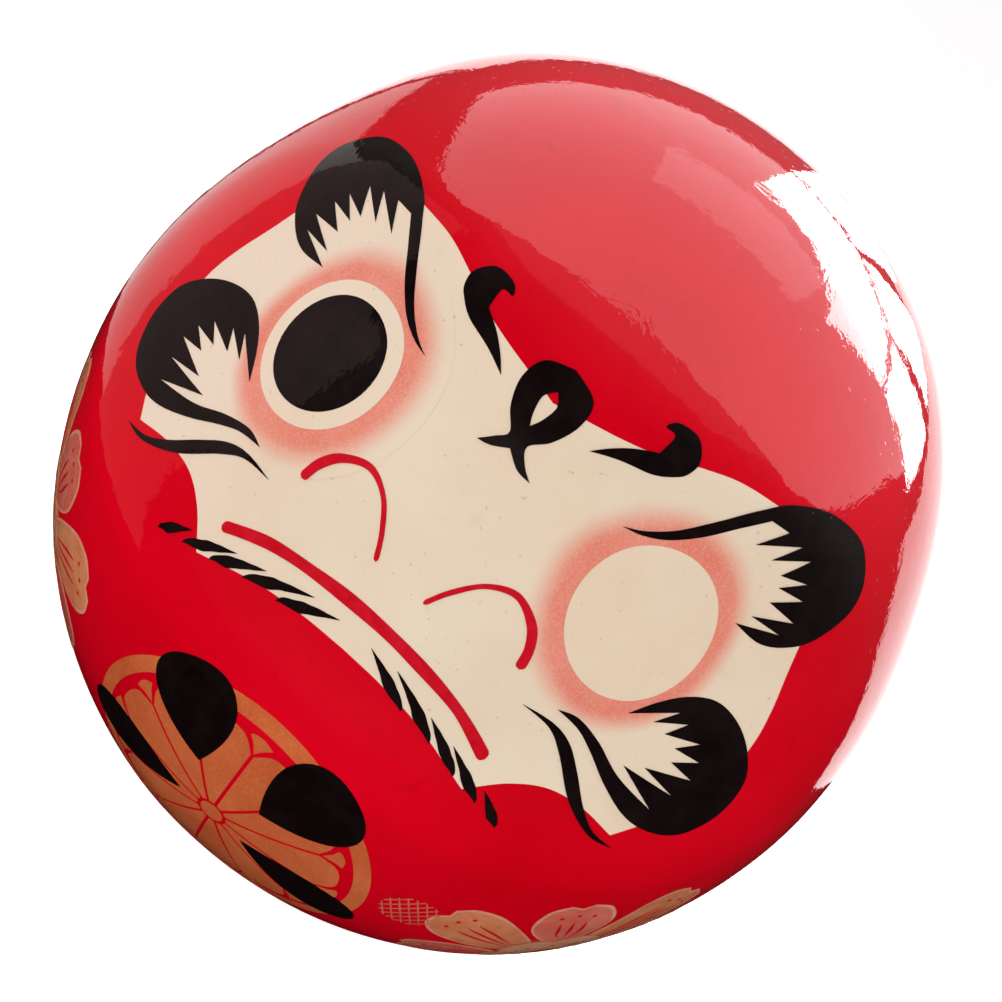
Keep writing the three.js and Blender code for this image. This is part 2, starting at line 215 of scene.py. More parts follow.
def mesh_object(name, points, faces, normals=None, card=None):
    mesh = bpy.data.meshes.new(name)
    mesh.from_pydata([tuple(p) for p in points], [], faces)
    mesh.validate()
    mesh.update()
    mesh.shade_smooth()
    if card is not None:
        layer = mesh.uv_layers.new(name="card")
        corners = np.empty(len(mesh.loops), dtype=np.int32)
        mesh.loops.foreach_get("vertex_index", corners)
        layer.data.foreach_set("uv", np.asarray(card, dtype=np.float32)[corners].ravel())
    if normals is not None:
        mesh.normals_split_custom_set_from_vertices([tuple(n) for n in normals])
    piece = bpy.data.objects.new(name, mesh)
    bpy.context.scene.collection.objects.link(piece)
    return piece


def declare(piece, slot, material, *nodes):
    piece.data.materials.clear()
    piece.data.materials.append(material)
    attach(piece, "root")
    if nodes:
        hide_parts(*nodes)


def half_shell(name, side):
    """The front (side -1) or rear (side 1) half of the paper body, as rings from its pole to the seam."""
    turns = np.arange(SHELL_COLUMNS) * 2 * math.pi / SHELL_COLUMNS
    outer = np.linspace(0, math.pi / 2, SHELL_RINGS + 1)[1:]
    inner = np.linspace(math.pi / 2, 0, LINING_RINGS + 1)[:-1]

    def ring_ways(angle):
        level = math.sin(angle)
        middle = np.full(SHELL_COLUMNS, side * math.cos(angle))
        return np.stack([level * np.cos(turns), middle, level * np.sin(turns)], axis=1)

    pole = np.array([[0.0, float(side), 0.0]])
    rows = [on_body(pole)]
    rows += [on_body(ring_ways(angle)) for angle in outer]
    rows += [on_body(ring_ways(angle), -WALL) for angle in inner]
    rows.append(on_body(pole, -WALL))
    points = np.concatenate(rows)
    rings = SHELL_RINGS + LINING_RINGS
    faces = []
    for ring in range(rings):
        for column in range(SHELL_COLUMNS):
            after = (column + 1) % SHELL_COLUMNS
            low, high = 1 + (ring - 1) * SHELL_COLUMNS, 1 + ring * SHELL_COLUMNS
            if ring == 0:
                face = (0, high + column, high + after)
            else:
                face = (low + column, high + column, high + after, low + after)
            faces.append(face[::side])
    last = len(points) - 1
    low = last - SHELL_COLUMNS
    for column in range(SHELL_COLUMNS):
        after = (column + 1) % SHELL_COLUMNS
        faces.append((low + column, last, low + after)[::side])
    piece = mesh_object(name, points, faces)
    cut_below(piece, BOARD_TOP)
    set_body_normals(piece)
    return piece


def cut_below(piece, height):
    work = bmesh.new()
    work.from_mesh(piece.data)
    every = work.verts[:] + work.edges[:] + work.faces[:]
    bmesh.ops.bisect_plane(work, geom=every, plane_co=(0, 0, height), plane_no=(0, 0, 1), clear_inner=True)
    open_edges = [edge for edge in work.edges if edge.is_boundary]
    bmesh.ops.edgenet_fill(work, edges=open_edges)
    bmesh.ops.recalc_face_normals(work, faces=work.faces)
    work.to_mesh(piece.data)
    work.free()
    piece.data.shade_smooth()


def set_body_normals(piece):
    """Gives the outside vertices the exact normals of the surface, so that the lacquer reflects evenly."""
    mesh = piece.data
    points = np.empty(len(mesh.vertices) * 3)
    mesh.vertices.foreach_get("co", points)
    spokes = points.reshape(-1, 3) - CENTRE
    ways = unit(spokes)
    depth = body_radius(ways) - np.linalg.norm(spokes, axis=1)
    normals = body_normals(ways)
    normals[depth > WALL / 2] *= -1
    mesh.normals_split_custom_set_from_vertices([tuple(n) for n in normals])


def level_ways(height):
    """Directions to points round the body that are all at one height, found in a few rounds."""
    turns = np.arange(BAND_COLUMNS) * 2 * math.pi / BAND_COLUMNS
    spokes = np.stack([np.sin(turns), -np.cos(turns), np.zeros(BAND_COLUMNS)], axis=1)
    for _ in range(LEVEL_ROUNDS):
        reach = body_radius(unit(spokes))
        spokes = unit(spokes) * reach[:, None]
        spokes[:, 2] = height - CENTRE[2]
        level = np.sqrt(np.maximum(reach**2 - spokes[:, 2] ** 2, 1e-9))
        spokes[:, :2] *= (level / np.hypot(spokes[:, 0], spokes[:, 1]))[:, None]
    return unit(spokes)


def base_band(material):
    """The paper strip round the joint of body and board: a thin closed ring that follows the body."""
    points = np.concatenate([on_body(level_ways(height), growth) for height, growth in BAND_SECTION])
    faces = []
    for row in range(len(BAND_SECTION)):
        low = row * BAND_COLUMNS
        high = (row + 1) % len(BAND_SECTION) * BAND_COLUMNS
        for column in range(BAND_COLUMNS):
            after = (column + 1) % BAND_COLUMNS
            faces.append((low + column, low + after, high + after, high + column))
    piece = mesh_object("base_band_paper", points, faces)
    declare(piece, "red_lacquer", material, "base_band")


# ---------------------------------------------------------------- drawing on cards

LINE_STEP = 0.5
POINT_WIDTH = 0.04
WAVER_WAVES = (9, 23)

# A pressed line swells from its point at this pace and power. At its other end the upper side turns in late
# and sharply, and the lower side turns in early and slowly, which makes the slanting cut.
SWELL_PACE = 1.7
SWELL_POWER = 0.9
CUT_UPPER = 0.99
CUT_UPPER_POWER = 10
CUT_LOWER = 0.95
CUT_LOWER_PACE = 2.6

# A drawn line loses this share of its width on the way to its last end.
DRAWN_LOSS = 0.55
DRAWN_PACE = 1.4


def spline(points, step=EDGE_STEP):
    """Points along a uniform Catmull-Rom curve through the given points, without its last point."""
    rows = np.array(points, dtype=float)
    padded = np.concatenate([rows[:1], rows, rows[-1:]])
    out = []
    for index in range(len(rows) - 1):
        before, low, high, after = padded[index:index + 4]
        count = max(2, int(np.linalg.norm(high - low) / step))
        share = (np.arange(count) / count)[:, None]
        square, cube = share**2, share**3
        out.append(
            (2 * cube - 3 * square + 1) * low + (cube - 2 * square + share) * (high - before) / 2
            + (3 * square - 2 * cube) * high + (cube - square) * (after - low) / 2
        )
    return np.concatenate(out)


def outline(start, runs, side=1):
    """A closed outline: runs of points that meet at corners. A run of one point is a straight line."""
    parts = []
    here = start
    for run in runs:
        parts.append(spline([here, *run]))
        here = run[-1]
    points = np.concatenate(parts)
    points[:, 0] *= side
    return points


def disc(x, y, radius, squash=1.0, tilt=0.0):
    """A circle, or an ellipse whose short axis is tilted from the vertical."""
    count = max(16, int(2 * math.pi * radius / EDGE_STEP))
    turns = np.arange(count) * 2 * math.pi / count
    along, across = radius * np.cos(turns), radius * squash * np.sin(turns)
    cosine, sine = math.cos(math.radians(tilt)), math.sin(math.radians(tilt))
    return np.stack([x + along * cosine - across * sine, y + along * sine + across * cosine], axis=1)


def brush_line(points, width, side=1, ends="round", wobble=0.0, seed=0):
    """A brush line with a hand's uneven width. Its ends are round, or it swells from a point to a slanting
    cut (pressed), or it thins out towards its last end (drawn)."""
    middle = np.concatenate([spline(points, LINE_STEP), [points[-1]]]).astype(float)
    middle[:, 0] *= side
    along = unit(np.gradient(middle, axis=0))
    length = np.concatenate([[0], np.cumsum(np.linalg.norm(np.diff(middle, axis=0), axis=1))])
    share = length / length[-1]
    near_end = np.minimum(length, length[-1] - length) / (width / 2)
    if ends == "pressed":
        taper = np.minimum(1, share * SWELL_PACE) ** SWELL_POWER
    else:
        taper = np.sqrt(1 - (1 - np.clip(near_end, 0, 1)) ** 2)
    if ends == "drawn":
        taper = taper * (1 - DRAWN_LOSS * smoothstep(share * DRAWN_PACE))
    rng = np.random.RandomState(seed)
    slow, quick = (np.sin(share * wave + rng.uniform(0, 6)) for wave in WAVER_WAVES)
    half = width / 2 * np.maximum(taper, POINT_WIDTH) * (1 + wobble * (slow + quick))
    upper = lower = half[:, None]
    if ends == "pressed":
        upper = (half * np.sqrt(1 - CUT_UPPER * share**CUT_UPPER_POWER))[:, None]
        lower = (half * (1 - CUT_LOWER * smoothstep(1 + (share - 1) * CUT_LOWER_PACE)))[:, None]
    across = side * np.stack([-along[:, 1], along[:, 0]], axis=1)
    return np.concatenate([middle + across * upper, (middle - across * lower)[::-1]])


def turned(points, angle):
    """Turns points of a card clockwise, so that an upright shape points along the angle."""
    turn = np.array([[math.cos(angle), -math.sin(angle)], [math.sin(angle), math.cos(angle)]])
    return points @ turn


def inside(points, loop):
    """Even-odd test of points against one closed loop."""
    x, y = points[:, 0:1], points[:, 1:2]
    x1, y1 = loop[:, 0], loop[:, 1]
    x2, y2 = np.roll(x1, -1), np.roll(y1, -1)
    crosses = (y1 > y) != (y2 > y)
    rise = np.where(y2 == y1, 1e-12, y2 - y1)
    return (np.sum(crosses & (x < (x2 - x1) * (y - y1) / rise + x1), axis=1) % 2) == 1


def edge_distance(points, loop):
    best = np.full(len(points), 1e9)
    for start, end in zip(loop, np.roll(loop, -1, axis=0)):
        way = end - start
        share = np.clip(((points - start) @ way) / max(way @ way, 1e-12), 0, 1)
        best = np.minimum(best, np.linalg.norm(points - start - share[:, None] * way, axis=1))
    return best


def fill(loops, step):
    """Triangles over an outline (first loop) with holes (other loops), with evenly spread inner points."""
    low, high = loops[0].min(axis=0), loops[0].max(axis=0)
    places = np.arange(low[0], high[0], step)
    grid = np.concatenate([
        np.stack([places + (step / 2) * (index % 2), np.full(len(places), row)], axis=1)
        for index, row in enumerate(np.arange(low[1], high[1], step * FILL_ROW))
    ])
    keep = inside(grid, loops[0])
    for hole in loops[1:]:
        keep &= ~inside(grid, hole)
    grid = grid[keep]
    for loop in loops:
        grid = grid[edge_distance(grid, loop) > FILL_MARGIN * step]
    edges = []
    base = 0
    for loop in loops:
        count = len(loop)
        edges += [(base + index, base + (index + 1) % count) for index in range(count)]
        base += count
    every = np.concatenate([*loops, grid])
    points, _, faces, *_ = delaunay_2d_cdt([Vector(p) for p in every], edges, [], 0, 1e-6)
    points = np.array([tuple(p) for p in points])
    middles = np.array([points[list(face)].mean(axis=0) for face in faces])
    wanted = inside(middles, loops[0])
    for hole in loops[1:]:
        wanted &= ~inside(middles, hole)
    return points, [tuple(face) for face, good in zip(faces, wanted) if good]


def card_frame(card):
    facing = direction(*card)
    across = direction(card[0] + 90, 0)
    upward = np.cross(facing, across)
    reach = body_radius(facing[None])[0] / MM
    return facing, across, upward, reach


def card_ways(card, flat):
    """Unit directions of points drawn on a card in millimetres."""
    facing, across, upward, reach = card_frame(card)
    return unit(facing * reach + flat[:, :1] * across + flat[:, 1:] * upward)


def film(name, card, shapes, coat, slot, material, nodes=()):
    """A closed thin coat of paint: a top that follows the body, and a foot sunk just under the paper.
    Each shape is an outline followed by its holes."""
    points, faces, normals, drawn = [], [], [], []
    base = 0
    for loops in shapes:
        flat, tops = fill(loops, FILL_STEP)
        ways = card_ways(card, flat)
        out = body_normals(ways)
        count = len(flat)
        tops = [tuple(base + index for index in face) for face in tops]
        walls = [(b, a, a + count, b + count) for a, b in boundary_edges(tops)]
        under = [tuple(index + count for index in face[::-1]) for face in tops]
        points += [on_body(ways, COAT_HEIGHTS[coat]), on_body(ways, FILM_FOOT)]
        normals += [out, -out]
        drawn += [flat, flat]
        faces += [*tops, *walls, *under]
        base += 2 * count
    points, normals, drawn = (np.concatenate(rows) for rows in (points, normals, drawn))
    piece = mesh_object(name, points, faces, normals, drawn * MM)
    declare(piece, slot, material, *nodes)


def boundary_edges(faces):
    seen = {}
    for face in faces:
        for a, b in zip(face, face[1:] + face[:1]):
            if (b, a) in seen:
                del seen[(b, a)]
            else:
                seen[(a, b)] = True
    return list(seen)


# ---------------------------------------------------------------- materials

def new_material(name):
    material = bpy.data.materials.new(name)
    material.use_nodes = True
    tree = material.node_tree
    shader = tree.nodes["Principled BSDF"]
    return material, tree, shader


def add_node(tree, kind, settings=None, **inputs):
    """Adds a node. Settings are its own properties; inputs are numbers, colours or sockets by input name."""
    node = tree.nodes.new(kind)
    for key, value in (settings or {}).items():
        setattr(node, key, value)
    for key, value in inputs.items():
        socket = node.inputs[key.replace("_", " ")]
        if isinstance(value, bpy.types.NodeSocket):
            tree.links.new(value, socket)
        else:
            socket.default_value = value
    return node


def place(tree):
    return add_node(tree, "ShaderNodeTexCoord").outputs["Object"]


def noise(tree, scale, detail=3.0, roughness=0.5, vector=None, distortion=0.0):
    node = add_node(tree, "ShaderNodeTexNoise", Vector=vector or place(tree), Scale=scale, Detail=detail,
                    Roughness=roughness, Distortion=distortion)
    return node.outputs["Fac"]


def ramp(tree, factor, stops):
    node = add_node(tree, "ShaderNodeValToRGB", Fac=factor)
    items = node.color_ramp.elements
    while len(items) < len(stops):
        items.new(0.5)
    for item, (position, colour) in zip(items, stops):
        item.position = position
        item.color = (*colour, 1)
    return node.outputs["Color"]


def mix(tree, factor, first, second):
    node = tree.nodes.new("ShaderNodeMix")
    node.data_type = "RGBA"
    for socket, value in ((node.inputs[0], factor), (node.inputs[6], first), (node.inputs[7], second)):
        if isinstance(value, bpy.types.NodeSocket):
            tree.links.new(value, socket)
        elif isinstance(value, tuple):
            socket.default_value = (*value, 1)
        else:
            socket.default_value = value
    return node.outputs[2]


def math_node(tree, operation, *values):
    node = tree.nodes.new("ShaderNodeMath")
    node.operation = operation
    for socket, value in zip(node.inputs, values):
        if isinstance(value, bpy.types.NodeSocket):
            tree.links.new(value, socket)
        else:
            socket.default_value = value
    return node.outputs[0]


def band(tree, value, low, high):
    """0 below low and 1 above high, smooth between."""
    node = add_node(tree, "ShaderNodeMapRange", {"interpolation_type": "SMOOTHSTEP"}, Value=value)
    node.inputs["From Min"].default_value = low
    node.inputs["From Max"].default_value = high
    return node.outputs["Result"]


# Lacquer relief: crinkles of the pasted paper, ripples of the brushed coat, and settled dust.
CRINKLE_SCALE = 95
RIPPLE_SCALE = 420
DUST_SCALE = 700
STREAK_SCALE = 120
STREAK_STRETCH = (1.0, 1.0, 0.22)
STREAK_SHARE = 0.5
RIPPLE_SHARE = 0.12
DUST_SHARE = 0.10
RELIEF_STRENGTH = 0.42
RELIEF_HEIGHT = 0.30 * MM
VARNISH_ROUGHNESS = 0.035
VARNISH_IOR = 1.5
PAINT_ROUGHNESS = 0.42

# The dark and the light end of each paint or bare material, and the colours that spot it.
LACQUER_ENDS = ((0.60, 0.0, 0.008), (0.74, 0.0006, 0.014))
LACQUER_STREAK = (0.42, 0.0, 0.008)
CREAM_ENDS = ((0.82, 0.66, 0.49), (0.86, 0.74, 0.58))
CREAM_LEFT = (0.86, 0.68, 0.58)
CREAM_STAIN = (0.72, 0.56, 0.40)
CREAM_SPECK = (0.45, 0.30, 0.20)
HALO_ENDS = ((0.80, 0.20, 0.14), (0.84, 0.28, 0.21))
GOLD_ENDS = ((0.60, 0.11, 0.032), (0.76, 0.18, 0.06))
GOLD_GRAIN = (0.90, 0.34, 0.15)
INK_ENDS = ((0.004, 0.0015, 0.002), (0.010, 0.005, 0.005))
RED_LINE_ENDS = ((0.56, 0.004, 0.012), (0.66, 0.012, 0.03))
PETAL_ENDS = ((0.60, 0.10, 0.07), (0.70, 0.20, 0.14))
BLUSH_ENDS = ((0.60, 0.17, 0.07), (0.70, 0.28, 0.14))
PALE_ENDS = ((0.66, 0.26, 0.15), (0.78, 0.40, 0.26))
CARD_ENDS = ((0.36, 0.25, 0.15), (0.48, 0.36, 0.23))
CLAY_ENDS = ((0.24, 0.17, 0.12), (0.36, 0.27, 0.20))
PAPER_ENDS = ((0.60, 0.52, 0.40), (0.72, 0.64, 0.50))


def between(tree, factor, ends, high=0.7):
    """A colour between two ends, mostly by a noise that seldom leaves 0.3 to 0.7."""
    return ramp(tree, factor, [(0.3, ends[0]), (high, ends[1])])


def spotted(tree, colour, mask, strength, spot):
    """Lays a second colour over the first where a mask shows, at a given strength."""
    return mix(tree, math_node(tree, "MULTIPLY", mask, strength), colour, spot)


def lacquer_finish(tree, shader):
    """A clear glossy varnish over the paint, with the same relief on every painted surface."""
    crinkle = noise(tree, CRINKLE_SCALE, 4.0, 0.55, distortion=0.6)
    stretched = add_node(tree, "ShaderNodeMapping", Vector=place(tree), Scale=STREAK_STRETCH)
    streak = noise(tree, STREAK_SCALE, 2.0, 0.5, vector=stretched.outputs["Vector"])
    ripple = noise(tree, RIPPLE_SCALE, 2.0, 0.5)
    dust = band(tree, noise(tree, DUST_SCALE, 1.0, 0.4), 0.70, 0.76)
    relief = math_node(tree, "MULTIPLY_ADD", ripple, RIPPLE_SHARE, crinkle)
    relief = math_node(tree, "MULTIPLY_ADD", streak, STREAK_SHARE, relief)
    relief = math_node(tree, "MULTIPLY_ADD", dust, DUST_SHARE, relief)
    bump = add_node(tree, "ShaderNodeBump", Height=relief)
    bump.inputs["Strength"].default_value = RELIEF_STRENGTH
    bump.inputs["Distance"].default_value = RELIEF_HEIGHT
    tree.links.new(bump.outputs["Normal"], shader.inputs["Normal"])
    tree.links.new(bump.outputs["Normal"], shader.inputs["Coat Normal"])
    shader.inputs["Coat Weight"].default_value = 1.0
    shader.inputs["Coat Roughness"].default_value = VARNISH_ROUGHNESS
    shader.inputs["Coat IOR"].default_value = VARNISH_IOR
    shader.inputs["Roughness"].default_value = PAINT_ROUGHNESS
    shader.inputs["Specular IOR Level"].default_value = 0.0


def red_lacquer():
    material, tree, shader = new_material("red_lacquer")
    cloud = noise(tree, 16, 4.0, 0.55)
    streak = noise(tree, 130, 3.0, 0.6, distortion=1.2)
    colour = between(tree, cloud, LACQUER_ENDS)
    colour = spotted(tree, colour, band(tree, streak, 0.55, 0.8), 0.25, LACQUER_STREAK)
    tree.links.new(colour, shader.inputs["Base Color"])
    lacquer_finish(tree, shader)
    return material


def cream_colour(tree):
    """Aged cream enamel: warm and cool clouds, a pinker tint to the left, faint stains and specks."""
    cloud = noise(tree, 22, 4.0, 0.6)
    colour = between(tree, cloud, CREAM_ENDS)
    across = add_node(tree, "ShaderNodeSeparateXYZ", Vector=place(tree)).outputs["X"]
    left = band(tree, math_node(tree, "MULTIPLY", across, -1.0), 0.0, 0.08)
    colour = spotted(tree, colour, left, 0.5, CREAM_LEFT)
    stain = band(tree, noise(tree, 60, 5.0, 0.65, distortion=1.0), 0.58, 0.75)
    colour = spotted(tree, colour, stain, 0.22, CREAM_STAIN)
    speck = band(tree, noise(tree, 900, 1.0, 0.4), 0.74, 0.78)
    return spotted(tree, colour, speck, 0.35, CREAM_SPECK)


def cream_paint():
    material, tree, shader = new_material("cream_paint")
    tree.links.new(cream_colour(tree), shader.inputs["Base Color"])
    lacquer_finish(tree, shader)
    return material


def halo_paint(name, centre):
    """Pink sprayed in a ring round an eye: dense at the eye, fading out, with the grain of the spray."""
    material, tree, shader = new_material(name)
    card = add_node(tree, "ShaderNodeUVMap", {"uv_map": "card"}).outputs["UV"]
    offset = add_node(tree, "ShaderNodeVectorMath", {"operation": "DISTANCE"})
    tree.links.new(card, offset.inputs[0])
    offset.inputs[1].default_value = (centre[0] * MM, centre[1] * MM, 0)
    away = math_node(tree, "DIVIDE", offset.outputs["Value"], MM)
    away = math_node(tree, "MULTIPLY_ADD", noise(tree, 45, 2.0), HALO_WAVER, away)
    fade = math_node(tree, "SUBTRACT", 1.0, band(tree, away, *HALO_FADE))
    grain = band(tree, noise(tree, 2300, 2.0, 0.6), 0.30, 0.62)
    soft = math_node(tree, "MULTIPLY", fade, math_node(tree, "MULTIPLY_ADD", grain, 0.22, 0.78))
    cloud = noise(tree, 70, 3.0, 0.6)
    pink = between(tree, cloud, HALO_ENDS)
    tree.links.new(mix(tree, soft, cream_colour(tree), pink), shader.inputs["Base Color"])
    lacquer_finish(tree, shader)
    return material


def plain_paint(name, ends, streak_scale):
    """One colour of brush paint, a little uneven where the brush left it thinner."""
    material, tree, shader = new_material(name)
    streak = noise(tree, streak_scale, 3.0, 0.6, distortion=0.8)
    tree.links.new(between(tree, streak, ends, 0.75), shader.inputs["Base Color"])
    lacquer_finish(tree, shader)
    return material


def gold_paint():
    """Bronze powder in varnish: coppery, slightly metallic, with fine grain."""
    material, tree, shader = new_material("gold_paint")
    cloud = noise(tree, 60, 3.0, 0.6)
    grain = noise(tree, 1500, 2.0, 0.7)
    colour = between(tree, cloud, GOLD_ENDS)
    colour = spotted(tree, colour, band(tree, grain, 0.5, 0.75), 0.35, GOLD_GRAIN)
    tree.links.new(colour, shader.inputs["Base Color"])
    lacquer_finish(tree, shader)
    shader.inputs["Metallic"].default_value = 0.15
    return material


def dry_material(name, ends, scale, bump_height):
    """Unpainted card, paper or clay."""
    material, tree, shader = new_material(name)
    grain = noise(tree, scale, 5.0, 0.65)
    tree.links.new(between(tree, grain, ends), shader.inputs["Base Color"])
    bump = add_node(tree, "ShaderNodeBump", Height=grain)
    bump.inputs["Distance"].default_value = bump_height
    bump.inputs["Strength"].default_value = 0.6
    tree.links.new(bump.outputs["Normal"], shader.inputs["Normal"])
    shader.inputs["Roughness"].default_value = 0.9
    return material


RED = red_lacquer()
CREAM = cream_paint()
INK = plain_paint("black_paint", INK_ENDS, 160)
RED_LINE = plain_paint("red_line_paint", RED_LINE_ENDS, 260)
GOLD = gold_paint()
PETAL = plain_paint("blossom_paint", PETAL_ENDS, 120)
BLUSH = plain_paint("blush_paint", BLUSH_ENDS, 120)
PALE = plain_paint("pale_paint", PALE_ENDS, 120)
CARD = dry_material("card", CARD_ENDS, 260, 0.3 * MM)
CLAY = dry_material("clay", CLAY_ENDS, 140, 0.8 * MM)
PAPER = dry_material("plain_paper", PAPER_ENDS, 220, 0.2 * MM)


# ---------------------------------------------------------------- the face

EYE_X = 44.3
EYE_Y = 15.2
EYE_WHITE = 18.0
PUPIL = 14.2
EYE_SQUASH = 0.95
EYE_TILT = 20
HALO_RADIUS = 28.0
HALO_FADE = (21.5, 28.5)
HALO_WAVER = 3.0
NOSE = [(28.6, -7.6), (27.4, -3), (24.3, 1), (18.6, 3.4), (12.9, 1), (8.6, -4.3), (6, -9.4)]
MOUTH = [(-36.9, -27.5), (-25, -22.3), (-12.2, -19.5), (0, -18.6), (12.2, -19.5), (25, -22.3), (36.9, -27.5)]
BEARD = [
    [(4.2, -23.5), (10, -26.2), (16.6, -29.6)], [(11, -23.7), (18, -27), (25.2, -31.3)],
    [(22.3, -27), (28, -30.2), (33.6, -33.8)], [(29.8, -29), (35.5, -32.2), (41.2, -35.9)],
    [(41.6, -33), (45, -35.4), (48.6, -38.2)],
]
BEARD_WIDTH = 2.3
NOSE_WIDTH = 2.3
MOUTH_WIDTH = 2.7


def flipped(run):
    return [(-x, y) for x, y in run]


def face_outline():
    upper = [
        (13, 38), (22, 41), (30, 45), (38, 48.5), (50, 52), (62, 55.5), (73, 52), (81, 41), (87.5, 30.5),
        (93, 21), (96.5, 11),
    ]
    lower = [(97, -2), (93, -14), (84, -22), (77, -28)]
    chin = [(65, -25.5), (54, -25.5), (45, -29), (37, -35)]
    beard = [(22, -30), (10, -28), (0, -27.5)]
    right = [[*upper, *lower], chin, beard]
    left = [
        [*flipped(beard[-2::-1]), (-37, -35)],
        [*flipped(chin[-2::-1]), (-77, -28)],
        [*flipped(lower[-2::-1]), *flipped(upper[::-1]), (0, 35)],
    ]
    return outline((0, 35), [*right, *left])


def brow_outline(side):
    top = [
        (30, 29.4), (35, 33.9), (40, 40.7), (45, 47.8), (51, 54.5), (63, 62), (78, 66), (88, 61.5),
        (90.5, 53), (86, 41),
    ]
    under = [(80, 34.5), (72, 30.2), (62, 29.4)]
    hairs = [
        (75, 35), (64, 33), (75.7, 39.3), (65, 38), (72.6, 44), (63.6, 41.4), (69.6, 47),
        (61.4, 43.3), (65.3, 50.6), (56.3, 43.7), (60.3, 50.7), (50.3, 43.1), (54.6, 50), (49, 48.5),
    ]
    tail = [(44.5, 42.6), (40, 36.4), (35, 31.3), (30, 28.3), (25.7, 27)]
    return outline((25.7, 27), [[*top, *under], *[[hair] for hair in hairs], tail], side)


def cheek_outline(side):
    top = [(60.7, 4.6), (66.4, 9.7), (73, 13), (80, 13.7), (89, 12), (98, 8), (105, 2.5), (107.5, -5)]
    under = [(106, -12), (100.5, -18.6), (93, -22), (83, -23), (74.3, -21.7), (64.3, -17.9), (55.7, -13.6)]
    stroke = [(48.6, -10.7), (41.4, -9.6)]
    back = [(47, -8.6), (55.7, -10.7), (67, -15), (82.4, -17.9)]
    hairs = [
        (65.7, -12), (85.4, -12), (71.4, -9.7), (87, -6), (77, -5), (85, -1), (74.7, -1.7),
        (80.7, 2.9), (69, -0.3), (73, 5), (63.6, 0.4), (68.3, 6), (56, -1.4),
    ]
    return outline((56, -1.4), [[*top, *under, *stroke], back, *[[hair] for hair in hairs]], side)


def whisker_outline(side):
    top = [(43, -12.6), (50, -14.6), (57, -19.3), (64.3, -25), (71.4, -29), (80, -30.7)]
    under = [(71, -30.2), (60, -25.6), (50, -18), (43, -14), (34.6, -13)]
    return outline((34.6, -13), [top, under], side)


def comma_outline(side):
    head = [(21, 45), (18.5, 45), (20, 47), (24.6, 47.7), (28, 45), (28, 42), (26.4, 40), (22.9, 37.6)]
    tail = [(16.4, 35.4), (11, 33)]
    inner = [(13.6, 35.8), (17, 38.6), (21, 41)]
    return outline((21, 41), [[*head, *tail], inner], side)


def knot_loops():
    right = [(5.5, 39.6), (6.6, 35), (4.6, 29.6), (1.6, 26), (3.5, 23), (6.4, 21)]
    feet = [(3, 21.3), (-0.7, 23.6)]
    left_foot = [(-4, 21.6), (-6.7, 21)]
    left = [(-4.4, 23.6), (-2.8, 26), (-6, 30), (-7.7, 35), (-6.2, 39.6), (-0.6, 41.6)]
    right_rim = [(1.1, 34.8), (0.5, 31.5), (-0.6, 29.3)]
    left_rim = [(-1.7, 31.5), (-2.3, 34.8), (-0.6, 37)]
    hole = outline((-0.6, 37), [right_rim, left_rim])
    return [outline((-0.6, 41.6), [right, feet, left_foot, left]), hole]


HAIR_MARKS = {
    "brow": brow_outline, "cheek_tuft": cheek_outline, "whisker": whisker_outline,
    "temple_comma": comma_outline,
}


def paint_eye(word, side):
    x = side * EYE_X
    halo = halo_paint(f"halo_paint_{word}", (x, EYE_Y))
    ring = disc(x, EYE_Y, HALO_RADIUS)
    film(f"eye_halo_paint_{word}", FACE_CARD, [[ring]], 1, "pink_paint", halo, [f"eye_halo_{word}"])
    white = disc(x, EYE_Y, EYE_WHITE, EYE_SQUASH, side * EYE_TILT)
    film(f"eye_white_paint_{word}", FACE_CARD, [[white]], 2, "cream_paint", CREAM, [f"eye_white_{word}"])


def paint_face():
    film("face_enamel_paint", FACE_CARD, [[face_outline()]], 0, "cream_paint", CREAM, ["face_enamel"])
    for word, side in (("left", -1), ("right", 1)):
        paint_eye(word, side)
        for mark, make in HAIR_MARKS.items():
            film(f"{mark}_paint_{word}", FACE_CARD, [[make(side)]], 3, "black_paint", INK, [f"{mark}_{word}"])
        nose = brush_line(NOSE, NOSE_WIDTH, side, "drawn", 0.04, side + 5)
        film(f"nose_line_paint_{word}", FACE_CARD, [[nose]], 3, "red_line_paint", RED_LINE,
             [f"nose_line_{word}"])
        for index, stroke in enumerate(BEARD):
            leaf = brush_line(stroke, BEARD_WIDTH, side, "pressed", 0.05, index + 10 * side + 20)
            film(f"beard_paint_{word}_{index + 1}", FACE_CARD, [[leaf]], 3, "black_paint", INK,
                 [f"beard_{word}_{index + 1}"])
    pupil = disc(-EYE_X, EYE_Y, PUPIL, EYE_SQUASH, -EYE_TILT)
    film("pupil_paint_left", FACE_CARD, [[pupil]], 3, "black_paint", INK, ["pupil_left"])
    film("forehead_knot_paint", FACE_CARD, [knot_loops()], 3, "black_paint", INK, ["forehead_knot"])
    mouth = brush_line(MOUTH, MOUTH_WIDTH, wobble=0.07, seed=3)
    film("mouth_line_paint", FACE_CARD, [[mouth]], 3, "red_line_paint", RED_LINE, ["mouth_line"])


# ---------------------------------------------------------------- the crest on the belly

CREST_Y = -1.0
CREST_OUTER = 40.0
CREST_INNER = 35.8
CREST_PETALS = 12
CREST_TIP = 32.5
CREST_SHOULDER = 27.0
CREST_ROOT = 4.0
CREST_HUB = 3.0
CREST_VEIN = 0.9
CREST_WEDGE = [(0, 28.6), (1.4, 31.2), (2.9, 33), (0, 34), (-2.9, 33), (-1.4, 31.2), (0, 28.6)]
CREST_ROUND = (0.65, 0.8)
